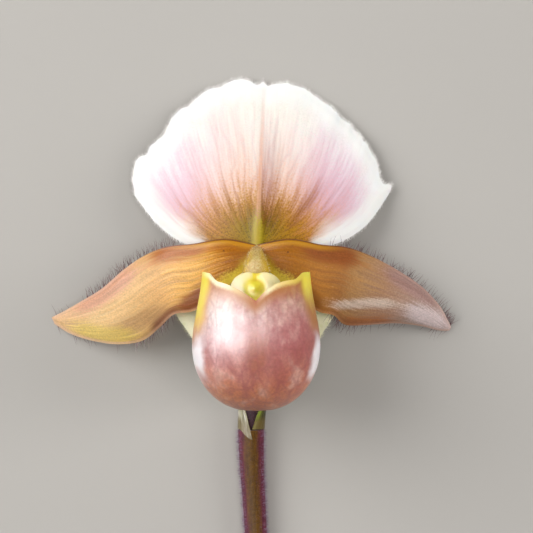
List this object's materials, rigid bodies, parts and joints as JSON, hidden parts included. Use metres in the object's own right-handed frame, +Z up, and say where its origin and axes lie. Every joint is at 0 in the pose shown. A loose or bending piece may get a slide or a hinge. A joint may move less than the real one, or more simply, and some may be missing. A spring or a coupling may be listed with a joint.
{
  "type": "cut slipper orchid bloom",
  "caption": "Slipper orchid bloom lying on its back: domed white upper sepal, drooping copper petals, hollow pink pouch, cream shield at its mouth, cut stalk.",
  "frame": {"origin": "on the surface that the bloom lies on, at the flat spot under its bract, 30 mm below the hub of the bloom", "axes": "+Z up, out of the bloom's face; +Y along the bloom from the cut stalk to the upper sepal; +X to the viewer's right"},
  "size_m": [0.0917, 0.1412, 0.0405],
  "materials": {
    "dorsal_sepal": "waxy petal skin, white edge and lilac flush",
    "synsepal": "waxy petal skin, pale yellow-green",
    "petal": "satin, copper brown with darker veins",
    "lip": "glossy, rose pink with darker net of veins",
    "column": "fine hair, pale yellow",
    "staminode": "waxy, cream with a yellow boss",
    "anther": "sticky, yellow-brown",
    "ovary": "ribbed, hairy, green and maroon",
    "bract": "thin leaf, pale green",
    "stalk": "short dense hair, purple and olive"
  },
  "bodies": {
    "root": {"dorsal_sepal": "dorsal_sepal", "synsepal": "synsepal", "petal_left": "petal", "petal_right": "petal", "lip": "lip", "column": "column", "staminode": "staminode", "anther_left": "anther", "anther_right": "anther", "ovary": "ovary", "bract": "bract", "stalk": "stalk"}
  },
  "joints": []
}
